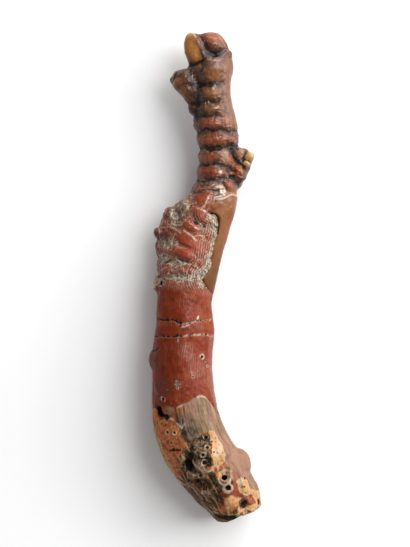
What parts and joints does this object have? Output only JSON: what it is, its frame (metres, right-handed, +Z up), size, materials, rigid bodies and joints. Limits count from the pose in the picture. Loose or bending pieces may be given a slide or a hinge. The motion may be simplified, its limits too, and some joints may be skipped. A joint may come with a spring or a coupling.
{
  "type": "coral branch",
  "caption": "Loose coral branch lying on its side: a curved, ringed stem with worn side stubs, a pale finger tip and a knobbly cut-off holdfast.",
  "frame": {"origin": "on the surface that the branch lies on, under the middle of its bounding box", "axes": "+Y along the branch from the cut holdfast to the growing tips, +X across it towards the knuckle, +Z up from the surface"},
  "size_m": [0.0282, 0.1228, 0.016],
  "materials": {
    "red_stem": "satin",
    "brown_stem": "glossy",
    "pale_tip": "glossy",
    "burr_crust": "satin"
  },
  "bodies": {
    "root": {"lower_stem": "red_stem", "upper_stem": "brown_stem", "crown": "brown_stem", "finger_tip": "pale_tip", "left_stub": "brown_stem", "left_spur": "red_stem", "burr": "burr_crust", "knuckle": "brown_stem"}
  },
  "joints": []
}
